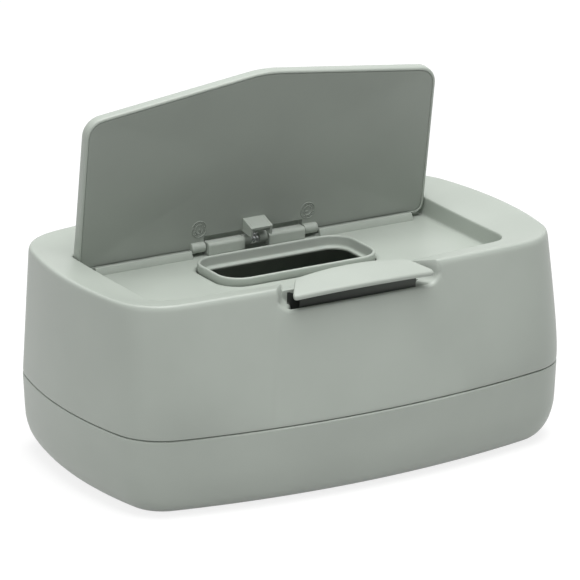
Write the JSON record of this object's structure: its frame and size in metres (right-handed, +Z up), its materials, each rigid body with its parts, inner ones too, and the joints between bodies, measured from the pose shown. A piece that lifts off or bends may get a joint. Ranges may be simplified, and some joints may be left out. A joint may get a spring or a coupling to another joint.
{
  "type": "wipes box",
  "caption": "Rounded moulded box for wipes: a tub and upper shell with a sunk deck, a collared slot, a hinged lid and a push button in a finger pocket.",
  "frame": {"origin": "centre of the footprint, on the surface the box stands on", "axes": "+Z up, -Y the front with the button, +X to the right seen from the front"},
  "size_m": [0.26, 0.1646, 0.189],
  "materials": {
    "box_plastic": "satin moulded plastic, grey green",
    "liner_plastic": "fine matt moulded plastic, grey green",
    "steel": "drawn wire",
    "foot_rubber": "soft dark grey"
  },
  "bodies": {
    "box": {"base_tub": "box_plastic", "upper_shell": "box_plastic", "slot_collar": "box_plastic", "hinge_block_left": "box_plastic", "hinge_block_right": "box_plastic", "hinge_pin": "steel", "hinge_spring": "steel", "button_pin": "steel", "foot_front_left": "foot_rubber", "foot_front_right": "foot_rubber", "foot_rear_left": "foot_rubber", "foot_rear_right": "foot_rubber"},
    "lid": {"lid_cover": "box_plastic", "lid_liner": "liner_plastic"},
    "button": {"release_button": "box_plastic"}
  },
  "joints": [
    {"name": "lid_hinge", "type": "hinge", "parent": "box", "child": "lid", "pos_m": [0, 0.0369, 0.098], "axis": [1, 0, 0], "range_deg": [0, 80.8]},
    {"name": "button_press", "type": "hinge", "parent": "box", "child": "button", "pos_m": [0, -0.0621, 0.096], "axis": [1, 0, 0], "range_deg": [0, 5]}
  ]
}
